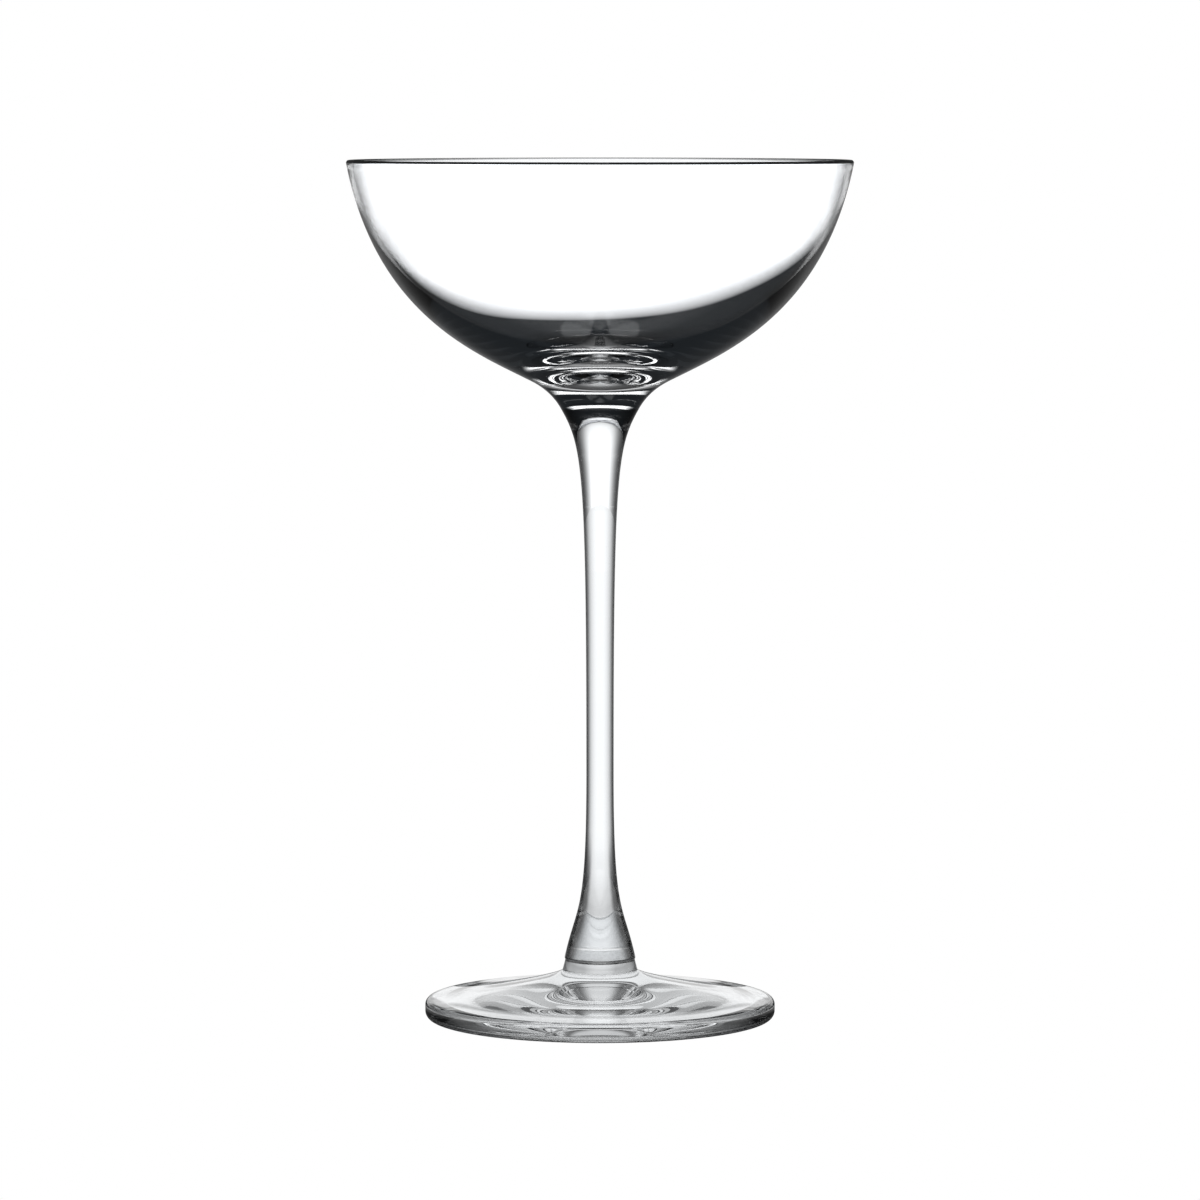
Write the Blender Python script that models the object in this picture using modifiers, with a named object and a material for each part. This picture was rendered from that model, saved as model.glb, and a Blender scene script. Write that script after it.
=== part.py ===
"""Coupe glass in clear glass: a bowl, a drawn stem and a pressed foot, fused hot at two flat welds.

Run with blender --background --python part.py, or from Blender's text editor. Metres, +Z up, with
the origin on the table at the middle of the foot. Each piece is a turned profile: points of (radius,
height) that run down its outer side, carried round the axis by a Screw modifier.

A lean is the angle of a profile from straight down, counted towards the axis. A pull is the length
of a curve's handle at one end: the longer it is, the longer the curve holds its lean there.
"""

import math

import bpy
from mathutils import Vector
from mathutils.geometry import interpolate_bezier

# Heights, stacked from the table up
FOOT_HEIGHT = 0.0116  # table to the weld on the foot's post
STEM_LENGTH = 0.1074  # weld to weld
BOWL_HEIGHT = 0.0480  # weld to the top of the lip
WELD_GAP = 0.0003  # clearance between two neighbours at a weld

# Bowl, outside: a round flank, then a turn where its underside runs into the neck
RIM_DIAMETER = 0.0980
LIP_WALL = 0.0011  # the lip is melted to a full round of this thickness
RIM_LEAN = math.radians(11.1)
TURN_DIAMETER = 0.0287
TURN_RISE = 0.0058  # height of the turn above the weld
TURN_LEAN = math.radians(63.4)
NECK_DIAMETER = 0.0152  # both sides of the upper weld
NECK_LEAN = math.radians(29.4)
FLANK_RIM_PULL = 0.0290
FLANK_TURN_PULL = 0.0121
NECK_TURN_PULL = 0.0012
NECK_WELD_PULL = 0.0044

# Bowl, inside: steeper than the outside, so the wall thickens all the way to a solid bottom
FLOOR_RISE = 0.0076  # height of the inner floor above the weld
INSIDE_RIM_LEAN = math.radians(9.0)
INSIDE_RIM_PULL = 0.0341
INSIDE_FLOOR_PULL = 0.0082

# Stem, slimmest at the waist and flared to both welds
WAIST_DIAMETER = 0.0053
WAIST_RISE = 0.0364  # height of the waist above the lower weld
TOE_DIAMETER = 0.0138  # both sides of the lower weld
TOE_LEAN = math.radians(-12.8)
NECK_STEM_PULL = 0.0085
WAIST_UPPER_PULL = 0.0598
WAIST_LOWER_PULL = 0.0282
TOE_PULL = 0.0109

# Foot: a post in the middle, a trumpet-shaped top, a rounded edge and a hollow underside
FOOT_DIAMETER = 0.0682
EDGE_THICKNESS = 0.0039
EDGE_TOP_ROUND = 0.0012
EDGE_UNDER_ROUND = 0.0015
TOP_SLOPE = math.radians(6.4)  # fall of the top towards the edge, from horizontal
POST_DIAMETER = 0.0146  # at the post's lower end, where the top begins
POST_LENGTH = 0.0021
POST_LEAN = math.radians(-17.0)
POST_PULL = 0.0012
TOP_EDGE_PULL = 0.0106
REST_RING_WIDTH = 0.0026
HOLLOW_DEPTH = 0.0021
HOLLOW_LEAN = math.radians(100.0)
HOLLOW_RING_PULL = 0.0027
HOLLOW_CENTRE_PULL = 0.0172

# Fineness of the facets
FACETS_ROUND = 48
INSIDE_POINTS = 16
LIP_POINTS = 6
FLANK_POINTS = 18
NECK_POINTS = 5
UPPER_STEM_POINTS = 16
LOWER_STEM_POINTS = 12
FOOT_TOP_POINTS = 12
EDGE_POINTS = 4
HOLLOW_POINTS = 8
MERGE_DISTANCE = 0.00001

LEVEL_IN = math.radians(90.0)  # the lean of a profile that runs level towards the axis
GLASS_INDEX = 1.52
BLOWN_TINT = (0.985, 0.990, 0.990)
DRAWN_TINT = (0.980, 0.988, 0.990)
PRESSED_TINT = (0.978, 0.986, 0.988)
FIRE_POLISH = 0.01  # roughness
MOULD_POLISH = 0.02  # roughness


def way_down(lean):
    """Direction of a profile that leans this far towards the axis on its way down."""
    return Vector((-math.sin(lean), -math.cos(lean)))


def fair_curve(start, start_lean, start_pull, end, end_lean, end_pull, points):
    """Cubic curve from start to end that keeps the lean at each end. The start itself is left out."""
    start_handle = start + way_down(start_lean) * start_pull
    end_handle = end - way_down(end_lean) * end_pull
    return interpolate_bezier(start, start_handle, end_handle, end, points + 1)[1:]


def arc(centre, radius, start_angle, end_angle, points):
    """Round from one angle to another, counted up from level outwards. Both ends are included."""
    angles = [start_angle + (end_angle - start_angle) * i / points for i in range(points + 1)]
    return [centre + radius * Vector((math.cos(a), math.sin(a))) for a in angles]


def bowl_profile():
    """From the inner floor up the inside, over the lip, down the flank and the neck to the weld."""
    lip_round = LIP_WALL / 2
    lip_centre = Vector((RIM_DIAMETER / 2 - lip_round, BOWL_HEIGHT - lip_round))
    lip = arc(lip_centre, lip_round, math.pi - INSIDE_RIM_LEAN, -RIM_LEAN, LIP_POINTS)
    floor = Vector((0.0, FLOOR_RISE))
    inside = fair_curve(
        lip[0], INSIDE_RIM_LEAN, INSIDE_RIM_PULL, floor, LEVEL_IN, INSIDE_FLOOR_PULL, INSIDE_POINTS
    )
    turn = Vector((TURN_DIAMETER / 2, TURN_RISE))
    flank = fair_curve(
        lip[-1], RIM_LEAN, FLANK_RIM_PULL, turn, TURN_LEAN, FLANK_TURN_PULL, FLANK_POINTS
    )
    weld = Vector((NECK_DIAMETER / 2, WELD_GAP / 2))
    neck = fair_curve(
        turn, TURN_LEAN, NECK_TURN_PULL, weld, NECK_LEAN, NECK_WELD_PULL, NECK_POINTS
    )
    return inside[::-1] + lip + flank + neck + [Vector((0.0, WELD_GAP / 2))]


def stem_profile():
    """From the upper weld in to the waist and out again to the lower weld."""
    top = Vector((NECK_DIAMETER / 2, STEM_LENGTH - WELD_GAP / 2))
    waist = Vector((WAIST_DIAMETER / 2, WAIST_RISE))
    toe = Vector((TOE_DIAMETER / 2, WELD_GAP / 2))
    upper = fair_curve(
        top, NECK_LEAN, NECK_STEM_PULL, waist, 0.0, WAIST_UPPER_PULL, UPPER_STEM_POINTS
    )
    lower = fair_curve(
        waist, 0.0, WAIST_LOWER_PULL, toe, TOE_LEAN, TOE_PULL, LOWER_STEM_POINTS
    )
    return [Vector((0.0, top.y)), top] + upper + lower + [Vector((0.0, toe.y))]


def foot_profile():
    """From the weld down the post, along the top, round the edge and across the underside."""
    weld_height = FOOT_HEIGHT - WELD_GAP / 2
    post = [Vector((TOE_DIAMETER / 2, weld_height))]
    post += [Vector((POST_DIAMETER / 2, FOOT_HEIGHT - POST_LENGTH))]
    radius = FOOT_DIAMETER / 2
    upper_centre = Vector((radius - EDGE_TOP_ROUND, EDGE_THICKNESS - EDGE_TOP_ROUND))
    upper_edge = arc(upper_centre, EDGE_TOP_ROUND, math.pi / 2 - TOP_SLOPE, 0.0, EDGE_POINTS)
    under_centre = Vector((radius - EDGE_UNDER_ROUND, EDGE_UNDER_ROUND))
    under_edge = arc(under_centre, EDGE_UNDER_ROUND, 0.0, -math.pi / 2, EDGE_POINTS)
    top_lean = TOP_SLOPE - LEVEL_IN
    top = fair_curve(
        post[-1], POST_LEAN, POST_PULL, upper_edge[0], top_lean, TOP_EDGE_PULL, FOOT_TOP_POINTS
    )
    ring = Vector((under_centre.x - REST_RING_WIDTH, 0.0))
    hollow = fair_curve(
        ring, HOLLOW_LEAN, HOLLOW_RING_PULL,
        Vector((0.0, HOLLOW_DEPTH)), LEVEL_IN, HOLLOW_CENTRE_PULL, HOLLOW_POINTS,
    )
    return [Vector((0.0, weld_height))] + post + top + upper_edge[1:] + under_edge + [ring] + hollow


def clear_glass(name, colour, roughness):
    """Clear glass with a faint tint."""
    material = bpy.data.materials.new(name)
    material.use_nodes = True
    shader = material.node_tree.nodes["Principled BSDF"]
    shader.inputs["Base Color"].default_value = (*colour, 1.0)
    shader.inputs["Roughness"].default_value = roughness
    shader.inputs["Metallic"].default_value = 0.0
    shader.inputs["IOR"].default_value = GLASS_INDEX
    shader.inputs["Transmission Weight"].default_value = 1.0
    return material


def turned_piece(name, profile, height, material, collection, parent):
    """One solid: the profile as edges at +X, turned round Z, with its own zero at this height."""
    mesh = bpy.data.meshes.new(name)
    edges = [(i, i + 1) for i in range(len(profile) - 1)]
    mesh.from_pydata([(p.x, 0.0, p.y) for p in profile], edges, [])
    mesh.materials.append(material)
    piece = bpy.data.objects.new(name, mesh)
    piece.location.z = height
    piece.parent = parent
    collection.objects.link(piece)
    turning = piece.modifiers.new("turning", "SCREW")
    turning.axis = "Z"
    turning.angle = math.tau
    turning.steps = FACETS_ROUND
    turning.render_steps = FACETS_ROUND
    turning.use_smooth_shade = True
    turning.use_merge_vertices = True
    turning.merge_threshold = MERGE_DISTANCE
    return piece


def main():
    for leftover in list(bpy.data.objects):
        bpy.data.objects.remove(leftover)
    collection = bpy.data.collections.new("coupe_glass")
    bpy.context.scene.collection.children.link(collection)
    stand = bpy.data.objects.new("coupe_glass_stand", None)
    collection.objects.link(stand)

    blown = clear_glass("blown_glass", BLOWN_TINT, FIRE_POLISH)
    drawn = clear_glass("drawn_glass", DRAWN_TINT, FIRE_POLISH)
    pressed = clear_glass("pressed_glass", PRESSED_TINT, MOULD_POLISH)

    turned_piece("foot", foot_profile(), 0.0, pressed, collection, stand)
    turned_piece("stem", stem_profile(), FOOT_HEIGHT, drawn, collection, stand)
    turned_piece("bowl", bowl_profile(), FOOT_HEIGHT + STEM_LENGTH, blown, collection, stand)


main()
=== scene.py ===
# %% [markdown]
# # A coupe glass, dressed for its picture
# The model that comes in is right in size but plain: three faceted solids of clear glass. This lesson
# puts a finely turned glass piece over each of them and sets up the table, the light and the camera.
# Glass has next to no colour of its own. What the eye reads is how each wall bends the room behind it,
# so the walls have to be true, and the room round the glass matters as much as the glass.

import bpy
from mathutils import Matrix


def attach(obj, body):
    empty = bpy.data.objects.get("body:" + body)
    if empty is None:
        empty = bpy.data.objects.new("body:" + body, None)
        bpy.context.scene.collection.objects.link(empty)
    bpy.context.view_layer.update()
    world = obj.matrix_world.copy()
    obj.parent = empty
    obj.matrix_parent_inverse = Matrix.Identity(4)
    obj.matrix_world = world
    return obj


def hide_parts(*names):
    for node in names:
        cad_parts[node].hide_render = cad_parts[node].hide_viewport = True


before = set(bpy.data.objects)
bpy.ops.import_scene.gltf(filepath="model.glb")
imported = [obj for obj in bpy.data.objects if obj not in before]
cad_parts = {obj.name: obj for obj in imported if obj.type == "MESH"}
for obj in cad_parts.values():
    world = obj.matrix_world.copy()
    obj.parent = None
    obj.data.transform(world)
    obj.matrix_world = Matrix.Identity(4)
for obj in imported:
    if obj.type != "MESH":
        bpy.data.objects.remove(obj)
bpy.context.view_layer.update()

# %% Tools for the lesson
import math

import bpy
import numpy as np

scene = bpy.context.scene
print("Blender", bpy.app.version_string)

# %% [markdown]
# ## The camera
# The picture was taken from far away with a long lens, a little above the rim: the rim is a thin
# ellipse, the foot a wider one, and the stem stands upright with no slant. The distance, height and
# tilt come from those two ellipses. A long lens keeps the wide bowl and the small foot in proportion.

# %% Camera
CAMERA_DISTANCE = 1.167
CAMERA_HEIGHT = 0.1781
CAMERA_TILT = math.radians(4.72)
SENSOR_WIDTH = 36.0
LENS_LENGTH = 180.9

lens = bpy.data.cameras.new("long_lens")
lens.sensor_width = SENSOR_WIDTH
lens.lens = LENS_LENGTH
lens.dof.use_dof = False
camera = bpy.data.objects.new("camera", lens)
camera.location = (0.0, -CAMERA_DISTANCE, CAMERA_HEIGHT)
camera.rotation_euler = (math.pi / 2 - CAMERA_TILT, 0.0, 0.0)
scene.collection.objects.link(camera)
scene.camera = camera
print("camera looks down by", round(math.degrees(CAMERA_TILT), 2), "degrees")

# %% [markdown]
# ## Curves of a turned profile
# A glassmaker's eye follows one line: from the inner floor up to the lip, over it and down the outside
# to the table. Every stretch of that line is either a round, where hot glass has melted, or a fair
# curve that leaves one end at a known lean and reaches the other at a known lean. A cubic curve with
# one handle at each end does that. It could be drawn by hand in the viewport, but as a formula its
# handles are real sizes, and the outside and the inside stay in step.

# %% Fair curves and rounds


def way_down(lean):
    """Unit step of a profile that leans this far towards the axis on its way down: (-sin, -cos)."""
    return np.array([-math.sin(lean), -math.cos(lean)])


def fair_curve(start, start_lean, start_pull, end, end_lean, end_pull, points):
    """Cubic curve: the four corners start, start + pull, end - pull and end are weighed by
    (1-t)^3, 3t(1-t)^2, 3t^2(1-t) and t^3 while t runs from 0 to 1. The start itself is left out."""
    t = np.linspace(0.0, 1.0, points + 1)[1:, None]
    start_handle = start + way_down(start_lean) * start_pull
    end_handle = end - way_down(end_lean) * end_pull
    near_start = (1 - t) ** 3 * start + 3 * t * (1 - t) ** 2 * start_handle
    near_end = 3 * t**2 * (1 - t) * end_handle + t**3 * end
    return near_start + near_end


def arc(centre, radius, start_angle, end_angle, points):
    """Round: centre plus radius times (cos, sin) of an angle that runs evenly from start to end."""
    angle = np.linspace(start_angle, end_angle, points + 1)
    return centre + radius * np.stack([np.cos(angle), np.sin(angle)], axis=1)


LEVEL_IN = math.pi / 2
print("a lean of 0 steps", way_down(0.0), "and LEVEL_IN steps", way_down(LEVEL_IN).round(6))

# %% [markdown]
# ## The bowl's line
# The bowl is blown, and its lip is melted to a full round. The outside comes down steeply and then
# turns in under the drink; the inside is rounder and stops higher, so the wall grows from about 1 mm
# at the lip to several where the bowl meets the stem. That growing wall is a prism: it bends the
# view downwards, and it is why the lower bowl goes dark in one clean crescent. The inner line was
# found by tracing rays through trial walls until the crescent's edge fell where the picture has it.

# %% Bowl profile
FOOT_HEIGHT = 0.0116
STEM_LENGTH = 0.1074
BOWL_HEIGHT = 0.0480
NECK_WELD = FOOT_HEIGHT + STEM_LENGTH
RIM_DIAMETER = 0.0980
LIP_WALL = 0.0011
RIM_LEAN = math.radians(11.1)
TURN_DIAMETER = 0.0287
TURN_RISE = 0.0058
TURN_LEAN = math.radians(63.4)
NECK_DIAMETER = 0.0152
NECK_LEAN = math.radians(29.4)
FLANK_PULLS = (0.0290, 0.0121)
NECK_PULLS = (0.0012, 0.0044)
FLOOR_RISE = 0.0076
INSIDE_RIM_LEAN = math.radians(9.0)
INSIDE_PULLS = (0.0341, 0.0082)
LIP_POINTS = 16
INSIDE_POINTS = 96
FLANK_POINTS = 80
NECK_POINTS = 28


def bowl_line():
    """From the inner floor up the inside, over the lip and down the outside to the weld's centre."""
    lip_round = LIP_WALL / 2
    lip_centre = np.array([RIM_DIAMETER / 2 - lip_round, NECK_WELD + BOWL_HEIGHT - lip_round])
    lip = arc(lip_centre, lip_round, math.pi - INSIDE_RIM_LEAN, -RIM_LEAN, LIP_POINTS)
    floor = np.array([0.0, NECK_WELD + FLOOR_RISE])
    inside = fair_curve(
        lip[0], INSIDE_RIM_LEAN, INSIDE_PULLS[0], floor, LEVEL_IN, INSIDE_PULLS[1], INSIDE_POINTS
    )
    turn = np.array([TURN_DIAMETER / 2, NECK_WELD + TURN_RISE])
    flank = fair_curve(
        lip[-1], RIM_LEAN, FLANK_PULLS[0], turn, TURN_LEAN, FLANK_PULLS[1], FLANK_POINTS
    )
    weld = np.array([NECK_DIAMETER / 2, NECK_WELD])
    neck = fair_curve(
        turn, TURN_LEAN, NECK_PULLS[0], weld, NECK_LEAN, NECK_PULLS[1], NECK_POINTS
    )
    return np.concatenate([inside[::-1], lip, flank, neck, [[0.0, NECK_WELD]]])


bowl_profile = bowl_line()
print("bowl line:", len(bowl_profile), "points, lip at", round(bowl_profile[:, 1].max() * 1000, 2), "mm")

# %% [markdown]
# ## The stem's line
# The stem is drawn from hot glass, so it is slimmest where it was pulled longest, below the middle, and
# flares at both welds. Two fair curves that meet upright at the waist give that line. Where the toe was
# pressed on to the foot it tucks in by a hair, in a crease that is a quarter of an ellipse. The crease
# and painted shade on a ring of faces at the weld make one dark curve round it.

# %% Stem profile
WAIST_DIAMETER = 0.0053
WAIST_RISE = 0.0364
TOE_DIAMETER = 0.0138
TOE_LEAN = math.radians(-12.8)
UPPER_PULLS = (0.0085, 0.0598)
LOWER_PULLS = (0.0282, 0.0109)
CREASE_DEPTH = 0.00015
CREASE_HEIGHT = 0.0004
UPPER_POINTS = 90
LOWER_POINTS = 60
CREASE_POINTS = 12


def stem_line():
    """From the upper weld's centre out, in to the waist, out to the toe, round the crease and in to the
    lower weld's centre. The crease is a quarter of a circle, stretched to its depth and height."""
    top = np.array([NECK_DIAMETER / 2, NECK_WELD])
    waist = np.array([WAIST_DIAMETER / 2, FOOT_HEIGHT + WAIST_RISE])
    toe = np.array([TOE_DIAMETER / 2, FOOT_HEIGHT + CREASE_HEIGHT])
    upper = fair_curve(top, NECK_LEAN, UPPER_PULLS[0], waist, 0.0, UPPER_PULLS[1], UPPER_POINTS)
    lower = fair_curve(waist, 0.0, LOWER_PULLS[0], toe, TOE_LEAN, LOWER_PULLS[1], LOWER_POINTS)
    quarter = arc(np.zeros(2), 1.0, 0.0, -math.pi / 2, CREASE_POINTS)[1:]
    crease = toe + np.array([CREASE_DEPTH, CREASE_HEIGHT]) * (quarter - [1.0, 0.0])
    return np.concatenate([[[0.0, top[1]], top], upper, lower, crease, [[0.0, FOOT_HEIGHT]]])


stem_profile = stem_line()
print("stem line:", len(stem_profile), "points, waist", WAIST_DIAMETER * 1000, "mm")

# %% [markdown]
# ## The foot's line
# The foot is pressed: a short post for the stem, a top that sweeps out like a trumpet's bell, a rounded
# edge, a flat ring to stand on and a hollow inside the ring, so that the glass doesn't rock. The hollow's
# roof acts as a mirror, and the height of the stem's image in it tells how high the roof is.

# %% Foot profile
FOOT_DIAMETER = 0.0682
EDGE_THICKNESS = 0.0039
EDGE_TOP_ROUND = 0.0012
EDGE_UNDER_ROUND = 0.0015
TOP_SLOPE = math.radians(6.4)
POST_DIAMETER = 0.0146
POST_LENGTH = 0.0021
POST_LEAN = math.radians(-17.0)
TOP_PULLS = (0.0012, 0.0106)
REST_RING_WIDTH = 0.0026
HOLLOW_DEPTH = 0.0021
HOLLOW_LEAN = math.radians(100.0)
HOLLOW_PULLS = (0.0027, 0.0172)
POST_POINTS = 7
TOP_POINTS = 80
EDGE_POINTS = 14
HOLLOW_POINTS = 40


def foot_line():
    """From the weld's centre out, down the post, along the top, round the edge and under to the axis."""
    weld = np.array([[0.0, FOOT_HEIGHT], [TOE_DIAMETER / 2 - CREASE_DEPTH, FOOT_HEIGHT]])
    post_end = np.array([POST_DIAMETER / 2, FOOT_HEIGHT - POST_LENGTH])
    post = np.linspace(weld[1], post_end, POST_POINTS + 1)[1:]
    radius = FOOT_DIAMETER / 2
    upper_centre = np.array([radius - EDGE_TOP_ROUND, EDGE_THICKNESS - EDGE_TOP_ROUND])
    upper_edge = arc(upper_centre, EDGE_TOP_ROUND, math.pi / 2 - TOP_SLOPE, 0.0, EDGE_POINTS)
    under_centre = np.array([radius - EDGE_UNDER_ROUND, EDGE_UNDER_ROUND])
    under_edge = arc(under_centre, EDGE_UNDER_ROUND, 0.0, -math.pi / 2, EDGE_POINTS)
    top_lean = TOP_SLOPE - LEVEL_IN
    top = fair_curve(
        post_end, POST_LEAN, TOP_PULLS[0], upper_edge[0], top_lean, TOP_PULLS[1], TOP_POINTS
    )
    ring = np.array([under_centre[0] - REST_RING_WIDTH, 0.0])
    centre = np.array([0.0, HOLLOW_DEPTH])
    hollow = fair_curve(
        ring, HOLLOW_LEAN, HOLLOW_PULLS[0], centre, LEVEL_IN, HOLLOW_PULLS[1], HOLLOW_POINTS
    )
    return np.concatenate([weld, post, top, upper_edge[1:], under_edge, [ring], hollow])


foot_profile = foot_line()
print("foot line:", len(foot_profile), "points,", FOOT_DIAMETER * 1000, "mm over the edge")

# %% [markdown]
# ## Turning a line into a piece
# Every piece is round, so its surface is its line carried round the axis: one parameter runs down the
# line, the other round it. Both ends of each line lie on the axis, where a ring would shrink to nothing,
# so each end is a single point with a fan of triangles. That leaves a closed solid with no seam.

# %% Turned surface
WIDE_TURNS = 256
SLIM_TURNS = 128


def turned_mesh(name, line, turns):
    """Point (i, j) is (r_i cos a_j, r_i sin a_j, z_i), where (r_i, z_i) runs down the line and a_j runs
    evenly round the axis. The line's two ends are on the axis and become single points."""
    angle = np.arange(turns) * math.tau / turns
    radius, height = line[1:-1, :1], line[1:-1, 1:]
    x, y = radius * np.cos(angle), radius * np.sin(angle)
    rings = np.stack([x, y, np.broadcast_to(height, x.shape)], axis=-1).reshape(-1, 3)
    ends = np.array([[0.0, 0.0, line[0, 1]], [0.0, 0.0, line[-1, 1]]])
    down, round_ = np.meshgrid(np.arange(len(radius) - 1), np.arange(turns), indexing="ij")
    here, below = down * turns, (down + 1) * turns
    beside = (round_ + 1) % turns
    quads = np.stack([here + round_, below + round_, below + beside, here + beside], axis=-1)
    step = np.arange(turns)
    after = (step + 1) % turns
    first, last = len(rings), len(rings) + 1
    bottom = (len(radius) - 1) * turns
    start_fan = np.stack([np.full(turns, first), step, after], axis=1)
    end_fan = np.stack([np.full(turns, last), bottom + after, bottom + step], axis=1)
    faces = quads.reshape(-1, 4).tolist() + start_fan.tolist() + end_fan.tolist()
    mesh = bpy.data.meshes.new(name)
    mesh.from_pydata(np.concatenate([rings, ends]).tolist(), [], faces)
    mesh.validate()
    return mesh


def mesh_volume(mesh):
    """Sum over triangles of a dot (b cross c) / 6, which is positive when the faces point outwards."""
    mesh.calc_loop_triangles()
    corners = np.empty(len(mesh.loop_triangles) * 3, dtype=np.int32)
    mesh.loop_triangles.foreach_get("vertices", corners)
    places = np.empty(len(mesh.vertices) * 3)
    mesh.vertices.foreach_get("co", places)
    a, b, c = places.reshape(-1, 3)[corners.reshape(-1, 3)].transpose(1, 0, 2)
    return float((a * np.cross(b, c)).sum() / 6)


bowl_mesh = turned_mesh("bowl_glass", bowl_profile, WIDE_TURNS)
stem_mesh = turned_mesh("stem_glass", stem_profile, SLIM_TURNS)
foot_mesh = turned_mesh("foot_glass", foot_profile, WIDE_TURNS)
for mesh in (bowl_mesh, stem_mesh, foot_mesh):
    print(mesh.name, len(mesh.polygons), "faces,", round(mesh_volume(mesh) * 1e6, 2), "cm3")

# %% [markdown]
# ## A few helpers for nodes
# Materials are small programs drawn as boxes and wires. Four helpers keep them readable here: each adds
# one box, feeds it plain values or the outputs of other boxes, and gives back its own output.

# %% Node helpers


def feed(tree, socket, value):
    """A plain value is set on the socket itself, and another box's output is wired to it."""
    if isinstance(value, bpy.types.NodeSocket):
        tree.links.new(value, socket)
    elif socket.type == "RGBA":
        socket.default_value = (*np.broadcast_to(value, 3).tolist(), 1.0)
    else:
        socket.default_value = value


def maths(tree, operation, first, second):
    """One sum on two values."""
    node = tree.nodes.new("ShaderNodeMath")
    node.operation = operation
    feed(tree, node.inputs[0], first)
    feed(tree, node.inputs[1], second)
    return node.outputs[0]


def mixed(tree, factor, first, second, way="MIX"):
    """The first colour where the factor is 0, and the second, or the first times the second, at 1."""
    node = tree.nodes.new("ShaderNodeMix")
    node.data_type = "RGBA"
    node.blend_type = way
    for socket, value in ((0, factor), (6, first), (7, second)):
        feed(tree, node.inputs[socket], value)
    return node.outputs[2]


def ramp(tree, value, stops):
    """A colour that follows a value through stops of (place, colour or grey)."""
    node = tree.nodes.new("ShaderNodeValToRGB")
    while len(node.color_ramp.elements) < len(stops):
        node.color_ramp.elements.new(0.5)
    for element, (place, colour) in zip(node.color_ramp.elements, stops):
        element.position = place
        element.color = (*np.broadcast_to(colour, 3).tolist(), 1.0)
    feed(tree, node.inputs["Fac"], value)
    return node.outputs["Color"]


print("helpers:", [helper.__name__ for helper in (feed, maths, mixed, ramp)])

# %% [markdown]
# ## What hot working leaves on clear glass
# Fire-polished glass is smooth, but it isn't optically flat: the surface swims a little, the polish
# varies, and the metal has a breath of cool grey in it. All three pieces share that, each at its own
# scale, so it is one node group with named inputs, placed in each material with its own values.

# %% The shared surface group
SURFACE_INPUTS = {
    "Waves per metre": "NodeSocketFloat",
    "Pale tint": "NodeSocketColor",
    "Deep tint": "NodeSocketColor",
    "Best polish": "NodeSocketFloat",
    "Worst polish": "NodeSocketFloat",
}
SURFACE_OUTPUTS = {"Tint": "NodeSocketColor", "Polish": "NodeSocketFloat", "Swim": "NodeSocketFloat"}
SWIM_DETAIL = 1.0
POLISH_GRAIN = 900.0


def hot_worked_surface():
    """Noise over Object coordinates: a broad one for the swim and the tint, a finer one for the polish."""
    group = bpy.data.node_groups.new("hot_worked_surface", "ShaderNodeTree")
    for socket, kind in SURFACE_INPUTS.items():
        group.interface.new_socket(socket, in_out="INPUT", socket_type=kind)
    for socket, kind in SURFACE_OUTPUTS.items():
        group.interface.new_socket(socket, in_out="OUTPUT", socket_type=kind)
    given = group.nodes.new("NodeGroupInput").outputs
    made = group.nodes.new("NodeGroupOutput").inputs
    place = group.nodes.new("ShaderNodeTexCoord").outputs["Object"]
    waves = group.nodes.new("ShaderNodeTexNoise")
    feed(group, waves.inputs["Vector"], place)
    feed(group, waves.inputs["Scale"], given["Waves per metre"])
    feed(group, waves.inputs["Detail"], SWIM_DETAIL)
    feed(group, made["Swim"], waves.outputs["Fac"])
    feed(group, made["Tint"], mixed(group, waves.outputs["Fac"], given["Pale tint"], given["Deep tint"]))
    haze = group.nodes.new("ShaderNodeTexNoise")
    feed(group, haze.inputs["Vector"], place)
    feed(group, haze.inputs["Scale"], POLISH_GRAIN)
    polish = group.nodes.new("ShaderNodeMapRange")
    feed(group, polish.inputs["Value"], haze.outputs["Fac"])
    feed(group, polish.inputs["To Min"], given["Best polish"])
    feed(group, polish.inputs["To Max"], given["Worst polish"])
    feed(group, made["Polish"], polish.outputs["Result"])
    return group


surface_group = hot_worked_surface()
print("group:", [item.name for item in surface_group.interface.items_tree])

# %% [markdown]
# ## The glasses
# Each material is one Principled shader with full transmission and the refractive index of soda glass.
# Through the side of a rod the eye looks the long way along the glass, past everything bright, so the
# edges of a stem read grey to black. Here that shade is painted: Layer Weight gives how far a face is
# turned from the eye, and a ramp darkens the base colour from it. The bowl's thin wall needs it only at
# its very edge, the rod from close to its middle. The melted lip, the foot's edge, the post and the ring at
# the weld have painted shade with ramps of their own. The last two are dark from outside only, so they
# cast no second image through the stem.

# %% Clear glass
GLASS_INDEX = 1.52
SWIM_DEPTH = 0.00002


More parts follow.
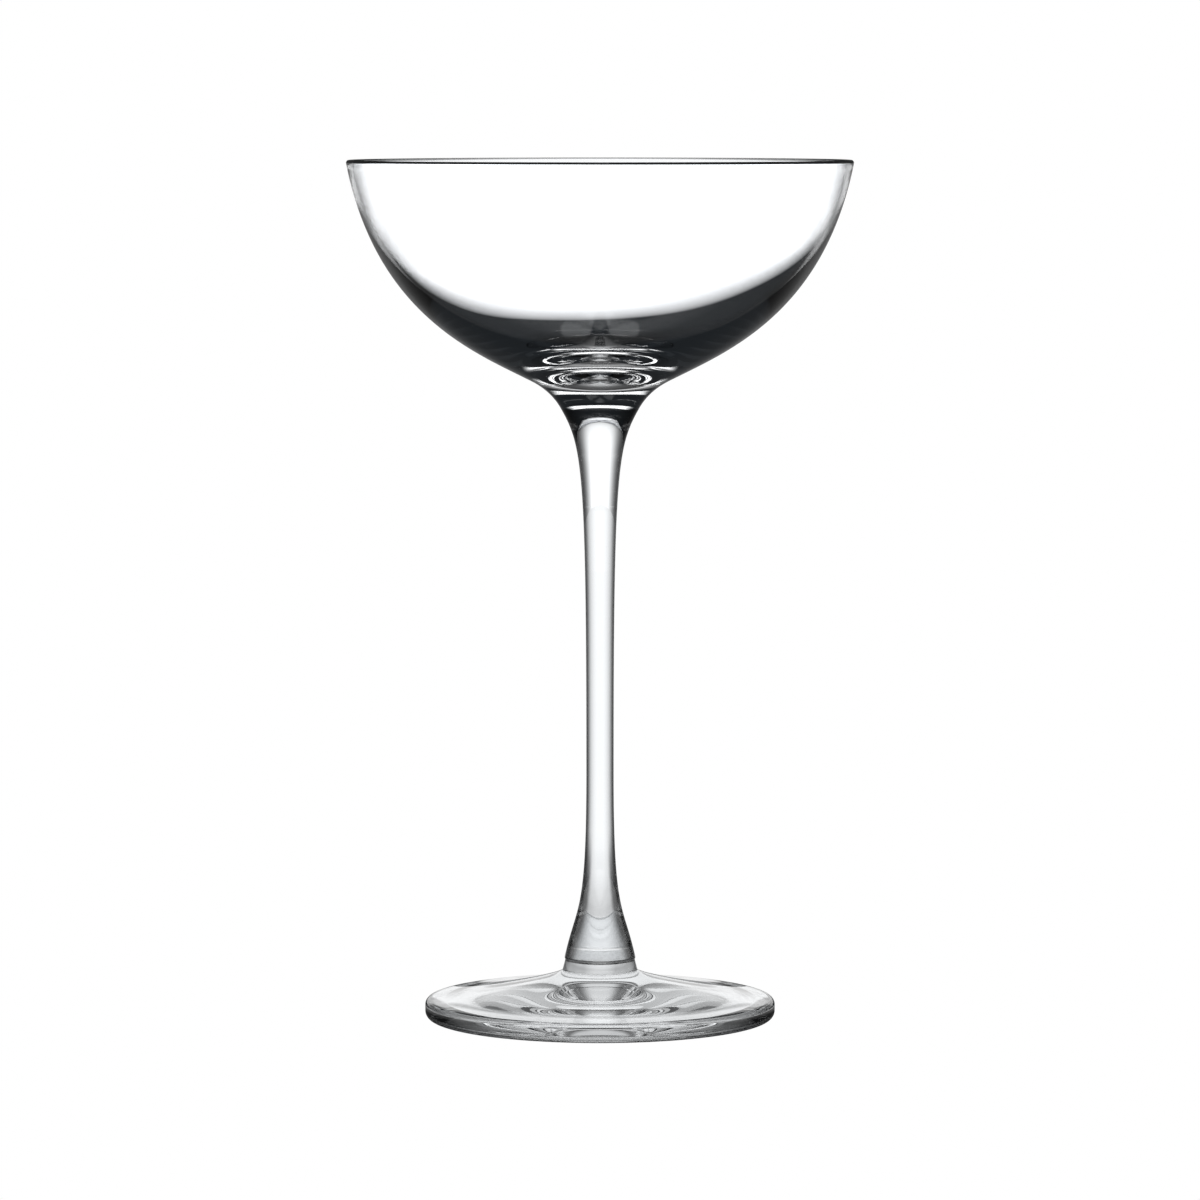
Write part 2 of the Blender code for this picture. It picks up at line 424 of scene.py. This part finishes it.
def clear_glass(name, surface_values, edge_shade_stops, outside_only=False):
    """Clear glass: tint, polish and swim from the shared group, with painted shade towards the edge from the
    stops.
    """
    material = bpy.data.materials.new(name)
    material.use_nodes = True
    tree = material.node_tree
    shader = tree.nodes["Principled BSDF"].inputs
    shader["Metallic"].default_value = 0.0
    shader["IOR"].default_value = GLASS_INDEX
    shader["Transmission Weight"].default_value = 1.0
    surface = tree.nodes.new("ShaderNodeGroup")
    surface.node_tree = surface_group
    for socket, value in surface_values.items():
        feed(tree, surface.inputs[socket], value)
    turned_away = tree.nodes.new("ShaderNodeLayerWeight")
    # Painted shade: the base colour darkens as a face turns from the eye, by the stops
    edge = ramp(tree, turned_away.outputs["Facing"], edge_shade_stops)
    if outside_only:
        from_inside = tree.nodes.new("ShaderNodeNewGeometry").outputs["Backfacing"]
        edge = mixed(tree, from_inside, edge, 1.0)
    feed(tree, shader["Base Color"], mixed(tree, 1.0, surface.outputs["Tint"], edge, "MULTIPLY"))
    feed(tree, shader["Roughness"], surface.outputs["Polish"])
    bump = tree.nodes.new("ShaderNodeBump")
    feed(tree, bump.inputs["Distance"], SWIM_DEPTH)
    feed(tree, bump.inputs["Height"], surface.outputs["Swim"])
    feed(tree, shader["Normal"], bump.outputs["Normal"])
    return material


print("glass index", GLASS_INDEX, "and a swim of", SWIM_DEPTH * 1000, "mm")

# %% Surfaces of the blown, drawn and pressed glass
THIN_TINT = {"Pale tint": (0.980, 0.988, 1.0), "Deep tint": (0.965, 0.978, 0.992)}
ROD_TINT = {"Pale tint": (0.970, 0.986, 1.0), "Deep tint": (0.950, 0.972, 0.990)}
SLAB_TINT = {"Pale tint": (0.970, 0.986, 1.0), "Deep tint": (0.948, 0.972, 0.988)}
FIRE_POLISH = {"Best polish": 0.002, "Worst polish": 0.012}
MOULD_POLISH = {"Best polish": 0.004, "Worst polish": 0.018}
BLOWN_SURFACE = {"Waves per metre": 40.0, **THIN_TINT, **FIRE_POLISH}
LIP_SURFACE = {"Waves per metre": 40.0, **ROD_TINT, **FIRE_POLISH}
DRAWN_SURFACE = {"Waves per metre": 60.0, **ROD_TINT, **FIRE_POLISH}
PRESSED_SURFACE = {"Waves per metre": 50.0, **SLAB_TINT, **MOULD_POLISH}
print("surfaces share the inputs", list(PRESSED_SURFACE))

# %% Seven glasses, each with its stops of painted shade: (turned away, share of light left)
BLOWN_EDGE_SHADE = ((0.88, 1.0), (0.94, 0.75), (1.0, 0.30))
LIP_EDGE_SHADE = ((0.08, 1.0), (0.18, 0.50), (0.32, 0.12), (0.60, 0.03))
DRAWN_EDGE_SHADE = (
    (0.03, 1.0), (0.07, 0.90), (0.14, 0.74), (0.20, 0.60),
    (0.26, 0.44), (0.34, 0.22), (0.42, 0.07), (0.55, 0.01),
)
PRESSED_EDGE_SHADE = ((0.80, 1.0), (1.0, 0.80))
RIM_EDGE_SHADE = ((0.02, 1.0), (0.05, 0.60), (0.10, 0.50), (0.30, 0.25), (0.45, 0.08), (0.60, 0.02))
POST_EDGE_SHADE = ((0.0, 0.90), (0.03, 0.75), (0.10, 0.42), (0.30, 0.25), (0.60, 0.15))
RING_EDGE_SHADE = ((0.0, 0.22), (0.05, 0.07), (0.12, 0.025), (0.40, 0.01))

blown = clear_glass("blown_glass", BLOWN_SURFACE, BLOWN_EDGE_SHADE)
drawn = clear_glass("drawn_glass", DRAWN_SURFACE, DRAWN_EDGE_SHADE)
pressed = clear_glass("pressed_glass", PRESSED_SURFACE, PRESSED_EDGE_SHADE)
lip_shade_glass = clear_glass("melted_lip_shade", LIP_SURFACE, LIP_EDGE_SHADE)
pressed_rim_shade = clear_glass("pressed_rim_shade", PRESSED_SURFACE, RIM_EDGE_SHADE)
weld_ring_shade = clear_glass("weld_ring_shade", PRESSED_SURFACE, RING_EDGE_SHADE, outside_only=True)
post_shade = clear_glass("post_shade", PRESSED_SURFACE, POST_EDGE_SHADE, outside_only=True)
glasses = (blown, drawn, pressed, lip_shade_glass, pressed_rim_shade, weld_ring_shade, post_shade)
print("glasses:", [glass.name for glass in glasses])

# %% [markdown]
# ## The welds
# Stem and foot are fused to their neighbours while hot, so no surface is left between them. The pieces
# stay separate solids here, each with a flat face at the weld, and that face has to be invisible: a
# material with no alpha lets every ray pass as though the metal ran on.

# %% Weld faces
weld_face = bpy.data.materials.new("weld_face")
weld_face.use_nodes = True
weld_face.node_tree.nodes["Principled BSDF"].inputs["Alpha"].default_value = 0.0
WELD_INDEX = 1
WELD_TOLERANCE = 1e-6
LEVEL_FROM = 0.999
SHARP_FROM = math.radians(30.0)


def of_faces(mesh, what):
    """One vector for each face, its centre or its normal, as rows of x, y and z."""
    values = np.empty(len(mesh.polygons) * 3)
    mesh.polygons.foreach_get(what, values)
    return values.reshape(-1, 3)


def finish_glass(mesh, glass, weld_heights, node):
    """Smooth piece with its glass, its flat weld faces made invisible, in the place of its CAD node."""
    mesh.materials.append(glass)
    mesh.materials.append(weld_face)
    height = of_faces(mesh, "center")[:, 2:]
    at_weld = np.isclose(height, weld_heights, atol=WELD_TOLERANCE).any(axis=1)
    hidden = at_weld & (np.abs(of_faces(mesh, "normal")[:, 2]) > LEVEL_FROM)
    mesh.polygons.foreach_set("material_index", hidden.astype(np.int32) * WELD_INDEX)
    mesh.shade_smooth()
    mesh.set_sharp_from_angle(angle=SHARP_FROM)
    piece = bpy.data.objects.new(mesh.name, mesh)
    scene.collection.objects.link(piece)
    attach(piece, "root")
    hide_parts(node)
    print(piece.name, "replaces", node, "and hides", int(hidden.sum()), "weld faces")


finish_glass(bowl_mesh, blown, [NECK_WELD], "bowl")
finish_glass(stem_mesh, drawn, [NECK_WELD, FOOT_HEIGHT], "stem")
finish_glass(foot_mesh, pressed, [FOOT_HEIGHT], "foot")

# %% [markdown]
# ## Painted shade on the lip, edge, post and ring
# Four places on the pieces are painted with shade unlike the rest of their glass: a dark lip line, a dark
# foot edge, a grey post and a dark ring at the weld. They could be objects of their own, but they are one
# body with it, so each is a patch of faces with another material, chosen by where its faces lie.

# %% Patches of other glass
MELTED_SHARE = 0.4
LIP_FROM = NECK_WELD + BOWL_HEIGHT - MELTED_SHARE * LIP_WALL
RIM_FROM = FOOT_DIAMETER / 2 - EDGE_TOP_ROUND
RIM_BELOW = EDGE_THICKNESS - EDGE_TOP_ROUND
# How far the ring of painted shade reaches above and below the weld
RING_ABOVE_WELD = 0.0005
RING_BELOW_WELD = 0.0003


def dress_patch(mesh, glass, chosen):
    """The chosen faces get another glass, with its own painted shade, apart from those that a weld hides."""
    kinds = np.empty(len(mesh.polygons), dtype=np.int32)
    mesh.polygons.foreach_get("material_index", kinds)
    patch = chosen & (kinds != WELD_INDEX)
    kinds[patch] = len(mesh.materials)
    mesh.materials.append(glass)
    mesh.polygons.foreach_set("material_index", kinds)
    print(mesh.name, "has", int(patch.sum()), "faces of", glass.name)


foot_places = of_faces(foot_mesh, "center")
foot_radius = np.hypot(foot_places[:, 0], foot_places[:, 1])
foot_rise = foot_places[:, 2]
on_post = (foot_radius < POST_DIAMETER / 2) & (foot_rise > FOOT_HEIGHT - POST_LENGTH)
# Patches of painted shade: a dark lip line, a dark foot edge, a grey post and a dark ring at the weld
dress_patch(bowl_mesh, lip_shade_glass, of_faces(bowl_mesh, "center")[:, 2] > LIP_FROM)
dress_patch(foot_mesh, pressed_rim_shade, (foot_radius > RIM_FROM) & (foot_rise < RIM_BELOW))
dress_patch(foot_mesh, post_shade, on_post)
dress_patch(foot_mesh, weld_ring_shade, on_post & (foot_rise > FOOT_HEIGHT - RING_BELOW_WELD))
dress_patch(stem_mesh, weld_ring_shade, of_faces(stem_mesh, "center")[:, 2] < FOOT_HEIGHT + RING_ABOVE_WELD)

# %% [markdown]
# ## Sorting the rays
# Clear glass shows the room, so the room is where its picture is painted. A ray from the camera can
# reach the room in several ways: straight past the glass; through one solid body, such as the stem;
# through both walls of the bowl; after it was turned back inside the glass, once or more; or thrown off
# the glass's skin. A ray that went through both walls and was turned as well would show a ghost. Light
# Path counts how often a ray was bent through a surface and how often it was mirrored, and that is
# enough to tell these apart. The room itself has four bright sides and four dim corners, so that the
# glass looks alike from four sides.

# %% Ray kinds
ONCE = 0.5
TWICE = 1.5
FOUR_TIMES = 3.5
PIPED_FROM = 8.5


def ray_kinds(tree, piped_from=PIPED_FROM):
    """Factors of 0 or 1 for a ray: straight from the camera, bent through two walls, turned back inside
    the glass, both of these, turned there more than once, thrown off its skin, and turned so often that
    it was piped along the wall."""
    path = tree.nodes.new("ShaderNodeLightPath").outputs
    entered = maths(tree, "GREATER_THAN", path["Transmission Depth"], ONCE)
    turned = maths(tree, "GREATER_THAN", path["Glossy Depth"], ONCE)
    inside = maths(tree, "MULTIPLY", entered, turned)
    two_walls = maths(tree, "GREATER_THAN", path["Transmission Depth"], FOUR_TIMES)
    return {
        "straight": path["Is Camera Ray"],
        "two walls": two_walls,
        "inside": inside,
        "ghost": maths(tree, "MULTIPLY", two_walls, inside),
        "again": maths(tree, "GREATER_THAN", path["Glossy Depth"], TWICE),
        "skin": maths(tree, "SUBTRACT", turned, inside),
        "piped": maths(tree, "GREATER_THAN", path["Glossy Depth"], piped_from),
    }


print("a ray counts as piped from", PIPED_FROM, "turns")

# %% Places, sides and glows
SIDES = 4.0
SIDE_EDGE = (-0.7, 0.2)
SOFT_EDGE = (-1.1, 0.6)


def over_range(tree, value, start, end):
    """0 at the start of a range and 1 at its end, smooth between and flat beyond."""
    node = tree.nodes.new("ShaderNodeMapRange")
    node.interpolation_type = "SMOOTHSTEP"
    for socket, given in (("Value", value), ("From Min", start), ("From Max", end)):
        feed(tree, node.inputs[socket], given)
    return node.outputs["Result"]


def place_round_axis(tree, vector):
    """A place's distance from the axis, and its compass angle round it, counted from +Y."""
    length = tree.nodes.new("ShaderNodeVectorMath")
    length.operation = "LENGTH"
    feed(tree, length.inputs[0], vector)
    parts = tree.nodes.new("ShaderNodeSeparateXYZ")
    feed(tree, parts.inputs["Vector"], vector)
    return length.outputs["Value"], maths(tree, "ARCTAN2", parts.outputs["X"], parts.outputs["Y"])


def at_sides(tree, compass, edge=SIDE_EDGE):
    """1 towards the room's four sides, 0 towards its corners, from the cosine of four times the compass."""
    wave = maths(tree, "COSINE", maths(tree, "MULTIPLY", compass, SIDES), 0.0)
    return over_range(tree, wave, *edge)


def by_angle(tree, facing, stops):
    """A glow by angle from level: on a level sheet Layer Weight's Facing is 1 less that angle's sine."""
    return ramp(tree, facing, [(1 - math.sin(math.radians(angle)), glow) for angle, glow in stops])


def glow_material(name):
    """A new material with nothing in it but an Emission shader, and that shader."""
    material = bpy.data.materials.new(name)
    material.use_nodes = True
    tree = material.node_tree
    tree.nodes.clear()
    output = tree.nodes.new("ShaderNodeOutputMaterial")
    light = tree.nodes.new("ShaderNodeEmission")
    tree.links.new(light.outputs["Emission"], output.inputs["Surface"])
    return material, light


print("the room has", int(SIDES), "bright sides")

# %% [markdown]
# ## The table
# The picture's ground is pure white, but the glass tells of another table: through the thick lower wall
# of the bowl, which bends the view steeply down, it is nearly black, and at a flat angle it is brighter
# than white. The black begins a little earlier on one side, as at the slanting edge of a table; here the
# slant comes four times round. Under the foot the table is white towards the four sides and dark towards
# the corners, which draws the dark flanks of the stem and its mirror image. To the camera it is white all
# over. A lamp and cards could give some of this, but a glow by kind of ray has no noise and no hot spots.

# %% Table sizes and glows
TABLE_SIZE = 40.0
TABLE_DROP = 0.0002
UNDER_FOOT = (0.045, 0.070)
UNDER_STEM = (0.034, 0.040)
FOOT_GLOW = 0.92
FOOT_CORNER_GLOW = 0.05
CORNERS_CLOSE = (0.080, 0.250)
CORNER_GLOW = 0.20
DARK_GREY = (0.022, 0.025, 0.028)
SLANT_DEPTH = 0.065
FLAT_GLOW = 2.3
# Stops by the angle of the ray below level: through the bowl's two walls, and under the foot
WALL_STOPS = (
    (45.0, 0.001), (30.0, 0.006), (23.0, DARK_GREY), (17.3, DARK_GREY), (16.9, 0.40),
    (16.1, 0.75), (15.2, 1.05), (13.7, 1.6), (12.0, FLAT_GLOW),
)
UNDER_FOOT_STOPS = ((70.0, 0.80), (50.0, 0.95), (8.0, 1.0))
CLEAR_UNDER_FOOT_STOPS = ((40.0, 0.60), (20.0, 0.95), (9.0, 1.05), (6.0, 0.60))
# Stops by angle after one turn inside the glass, after more, and off the skin close by
TURNED_STOPS = (
    (60.0, 0.45), (45.0, 0.12), (28.0, 0.05), (20.5, 0.06),
    (18.0, 0.60), (14.0, 0.90), (11.0, 0.45), (6.0, 0.20),
)
AGAIN_STOPS = (
    (60.0, 0.03), (45.0, 0.10), (32.0, 0.40), (20.0, 0.15), (12.0, 0.30), (8.0, 1.2), (4.0, 2.0),
)
SKIN_NEAR = (0.10, 0.25)
SKIN_NEAR_STOPS = ((30.0, 0.04), (8.8, 0.04), (6.0, 0.90))
# Stops by distance from the axis: through the stem, and off the skin
STEM_STOPS = (
    (0.034, 1.00), (0.044, 0.70), (0.071, 0.80), (0.126, 0.95), (0.190, 1.05), (0.30, 1.10),
)
SKIN_STOPS = ((0.25, 0.04), (0.60, 0.20), (1.00, 0.20))
print("dark through both walls from", WALL_STOPS[3][0], "degrees down")

# %% Table


def table_material():
    """Light given off: white to the camera, and else by the kind of ray, its angle and its place."""
    material, light = glow_material("white_table")
    tree = material.node_tree
    kinds = ray_kinds(tree)
    facing = tree.nodes.new("ShaderNodeLayerWeight").outputs["Facing"]
    place = tree.nodes.new("ShaderNodeTexCoord").outputs["Object"]
    distance, compass = place_round_axis(tree, place)
    to_side = at_sides(tree, compass)
    to_soft_side = at_sides(tree, compass, SOFT_EDGE)
    beyond_foot = over_range(tree, distance, *UNDER_FOOT)

    slant = maths(tree, "SINE", maths(tree, "MULTIPLY", compass, SIDES), 0.0)
    slanted = maths(tree, "SUBTRACT", facing, maths(tree, "MULTIPLY", slant, SLANT_DEPTH))
    foot_glow = mixed(tree, to_soft_side, FOOT_CORNER_GLOW, FOOT_GLOW)
    through_walls = mixed(tree, beyond_foot, foot_glow, by_angle(tree, slanted, WALL_STOPS))

    close_by = maths(tree, "SUBTRACT", 1.0, over_range(tree, distance, *CORNERS_CLOSE))
    to_corner = maths(tree, "MULTIPLY", close_by, maths(tree, "SUBTRACT", 1.0, to_side))
    past_stem = mixed(tree, to_corner, ramp(tree, distance, STEM_STOPS), CORNER_GLOW)
    below_foot = by_angle(tree, facing, CLEAR_UNDER_FOOT_STOPS)
    through_one = mixed(tree, over_range(tree, distance, *UNDER_STEM), below_foot, past_stem)
    through = mixed(tree, kinds["two walls"], through_one, through_walls)

    below = mixed(tree, to_soft_side, FOOT_CORNER_GLOW, by_angle(tree, facing, UNDER_FOOT_STOPS))
    again = mixed(tree, to_side, DARK_GREY, by_angle(tree, facing, AGAIN_STOPS))
    beyond = mixed(tree, kinds["again"], by_angle(tree, facing, TURNED_STOPS), again)
    beyond = mixed(tree, kinds["ghost"], beyond, DARK_GREY)
    turned = mixed(tree, beyond_foot, below, beyond)

    near_skin = mixed(tree, to_side, DARK_GREY, by_angle(tree, facing, SKIN_NEAR_STOPS))
    far_skin = ramp(tree, distance, SKIN_STOPS)
    off_skin = mixed(tree, over_range(tree, distance, *SKIN_NEAR), near_skin, far_skin)

    seen = mixed(tree, kinds["inside"], through, turned)
    seen = mixed(tree, kinds["skin"], seen, off_skin)
    seen = mixed(tree, kinds["piped"], seen, DARK_GREY)
    feed(tree, light.inputs["Color"], mixed(tree, kinds["straight"], seen, 1.0))
    return material


def flat_square(name, width):
    """A square of this width round the origin, level with it."""
    half = width / 2
    mesh = bpy.data.meshes.new(name)
    corners = [(-half, -half, 0.0), (half, -half, 0.0), (half, half, 0.0), (-half, half, 0.0)]
    mesh.from_pydata(corners, [], [(0, 1, 2, 3)])
    return mesh


table_mesh = flat_square("white_table", TABLE_SIZE)
table_mesh.materials.append(table_material())
table = bpy.data.objects.new("white_table", table_mesh)
table.location.z = -TABLE_DROP
scene.collection.objects.link(table)
print("table", TABLE_SIZE, "m wide,", TABLE_DROP * 1000, "mm under the foot")

# %% [markdown]
# ## A low reflector for the foot
# The foot is a flat lens that mirrors whatever is low above the table: in the picture that is a bright
# strip near the horizon, dark and bright stretches above it and grey overhead. The neck sees the rest of
# the room, so the foot gets a sheet of its own, level and as high as the upper stem, out of the camera's
# sight. It glows downwards only, by the angle of the ray, more towards the four sides than the corners.
# To a ray that came straight through the stem it is as bright as the backdrop, so its edge doesn't show.
# From above it is clear, and rays that the bowl bends down pass through it.

# %% Reflector sizes and glows
REFLECTOR_HEIGHT = 0.100
REFLECTOR_HOLE = 0.006
REFLECTOR_EDGE = 3.0
REFLECTOR_TURNS = 96
REFLECTOR_PIPED_FROM = 10.5
LONG_WAY_FROM = 3.5
LONG_WAY_GLOW = 0.52
BETWEEN_SIDES = 0.03
BACKDROP_GLOW = 1.5
BACKDROP_CORNER = 0.40
# Stops by the angle of the ray above level: off the foot's skin, and after a turn inside it
SKIN_ABOVE_STOPS = ((60.0, 0.15), (30.0, 0.15), (20.0, 0.45), (12.0, 1.0))
SIDE_STOPS = (
    (62.0, 0.88), (53.0, 0.75), (44.0, 0.20), (36.0, 0.05), (27.0, 0.06), (23.0, 0.60),
    (19.0, 0.60), (17.0, 0.08), (14.5, 0.10), (12.5, 1.0), (4.0, 1.0),
)
CORNER_STOPS = ((62.0, 0.55), (52.0, 0.18), (30.0, 0.08), (20.0, 0.22), (4.0, 0.30))
print("reflector at", REFLECTOR_HEIGHT * 1000, "mm, open to", REFLECTOR_HOLE * 1000, "mm from the axis")

# %% Low reflector


def ring_mesh(name, inner, outer, turns):
    """Point (i, j) is (r_i cos a_j, r_i sin a_j, 0) for the two radii and angles evenly round the axis."""
    angle = np.arange(turns) * math.tau / turns
    radius = np.array([[inner], [outer]])
    x, y = radius * np.cos(angle), radius * np.sin(angle)
    points = np.stack([x, y, np.zeros_like(x)], axis=-1).reshape(-1, 3)
    step = np.arange(turns)
    after = (step + 1) % turns
    mesh = bpy.data.meshes.new(name)
    faces = np.stack([step, turns + step, turns + after, after], axis=1)
    mesh.from_pydata(points.tolist(), [], faces.tolist())
    return mesh


def reflector_material():
    """Light given off by the underside, by the ray's angle and kind; the upper side lets everything pass."""
    material, light = glow_material("low_reflector")
    tree = material.node_tree
    kinds = ray_kinds(tree, REFLECTOR_PIPED_FROM)
    long_way = ray_kinds(tree, LONG_WAY_FROM)["piped"]
    facing = tree.nodes.new("ShaderNodeLayerWeight").outputs["Facing"]
    place = tree.nodes.new("ShaderNodeTexCoord").outputs["Object"]
    _, compass = place_round_axis(tree, place)
    to_side = at_sides(tree, compass, SOFT_EDGE)
    corners = by_angle(tree, facing, CORNER_STOPS)
    turned = mixed(tree, to_side, corners, by_angle(tree, facing, SIDE_STOPS))
    turned = mixed(tree, long_way, turned, LONG_WAY_GLOW)
    through = mixed(tree, to_side, BACKDROP_CORNER * BACKDROP_GLOW, BACKDROP_GLOW)
    off_skin = mixed(tree, to_side, BETWEEN_SIDES, by_angle(tree, facing, SKIN_ABOVE_STOPS))
    glow = mixed(tree, kinds["inside"], through, turned)
    glow = mixed(tree, kinds["skin"], glow, off_skin)
    feed(tree, light.inputs["Color"], mixed(tree, kinds["piped"], glow, DARK_GREY))
    from_below = tree.nodes.new("ShaderNodeNewGeometry").outputs["Backfacing"]
    either = tree.nodes.new("ShaderNodeMixShader")
    tree.links.new(from_below, either.inputs["Fac"])
    tree.links.new(tree.nodes.new("ShaderNodeBsdfTransparent").outputs[0], either.inputs[1])
    tree.links.new(light.outputs["Emission"], either.inputs[2])
    tree.links.new(either.outputs[0], tree.nodes["Material Output"].inputs["Surface"])
    return material


reflector_mesh = ring_mesh("low_reflector", REFLECTOR_HOLE, REFLECTOR_EDGE, REFLECTOR_TURNS)
reflector_mesh.materials.append(reflector_material())
reflector = bpy.data.objects.new("low_reflector", reflector_mesh)
reflector.location.z = REFLECTOR_HEIGHT
reflector.visible_camera = False
scene.collection.objects.link(reflector)
print("reflector of", len(reflector_mesh.polygons), "faces, unseen by the camera")

# %% [markdown]
# ## The room
# A bright backdrop goes all round, less bright in the corners, and it dims overhead. Through both walls
# of the bowl it is as bright as the table at its flattest, so the table's far edge doesn't show. Light
# that was turned back inside the glass comes from anywhere in the room, most of which is dim. After more
# turns it finds bright bands low on the four sides, which draw the white arcs in the neck. So the world
# sorts the rays too.

# %% Room
BACKDROP_STOPS = ((0.0, BACKDROP_GLOW), (0.50, BACKDROP_GLOW), (0.72, 0.50), (1.0, 0.10))
INSIDE_GREY = (0.012, 0.014, 0.016)
TURNED_ROOM_STOPS = ((0.0, 0.30), (0.03, 0.08), (0.20, INSIDE_GREY))
AGAIN_ROOM_STOPS = ((0.0, 2.2), (0.42, 2.2), (0.60, 0.30), (0.75, INSIDE_GREY))
SKIN_ROOM_STOPS = ((0.0, 0.05), (0.40, 0.05), (0.60, 0.20), (1.0, 0.10))


def make_room():
    """World colour by ray: white to the camera, a backdrop by height and side, and after a turn inside
    the glass a dim room, with bright bands at the sides after more turns. Height is the sine of the angle
    above level."""
    world = bpy.data.worlds.new("studio_room")
    world.use_nodes = True
    tree = world.node_tree
    kinds = ray_kinds(tree)
    direction = tree.nodes.new("ShaderNodeTexCoord").outputs["Generated"]
    parts = tree.nodes.new("ShaderNodeSeparateXYZ")
    feed(tree, parts.inputs["Vector"], direction)
    height = parts.outputs["Z"]
    _, compass = place_round_axis(tree, direction)
    share = mixed(tree, at_sides(tree, compass, SOFT_EDGE), BACKDROP_CORNER, 1.0)
    backdrop = mixed(tree, 1.0, ramp(tree, height, BACKDROP_STOPS), share, "MULTIPLY")
    backdrop = mixed(tree, kinds["two walls"], backdrop, FLAT_GLOW)
    bands = mixed(tree, at_sides(tree, compass), INSIDE_GREY, ramp(tree, height, AGAIN_ROOM_STOPS))
    turned = mixed(tree, kinds["again"], ramp(tree, height, TURNED_ROOM_STOPS), bands)
    seen = mixed(tree, kinds["inside"], backdrop, turned)
    seen = mixed(tree, kinds["ghost"], seen, INSIDE_GREY)
    seen = mixed(tree, kinds["skin"], seen, ramp(tree, height, SKIN_ROOM_STOPS))
    seen = mixed(tree, kinds["piped"], seen, INSIDE_GREY)
    feed(tree, tree.nodes["Background"].inputs["Color"], mixed(tree, kinds["straight"], seen, 1.0))
    return world


scene.world = make_room()
print("room:", scene.world.name)

# %% [markdown]
# ## How far the light is followed
# A ray through the foot or the neck meets many walls and is reflected inside the glass over and over.
# With too few bounces it would end in the glass and leave black spots, so the limits are raised. The
# Standard view keeps the white ground at full white, as in the picture.

# %% Light and picture settings
scene.cycles.max_bounces = 40
scene.cycles.transmission_bounces = 32
scene.cycles.glossy_bounces = 24
scene.cycles.transparent_max_bounces = 32
scene.view_settings.view_transform = "Standard"
print("bounces:", scene.cycles.max_bounces)
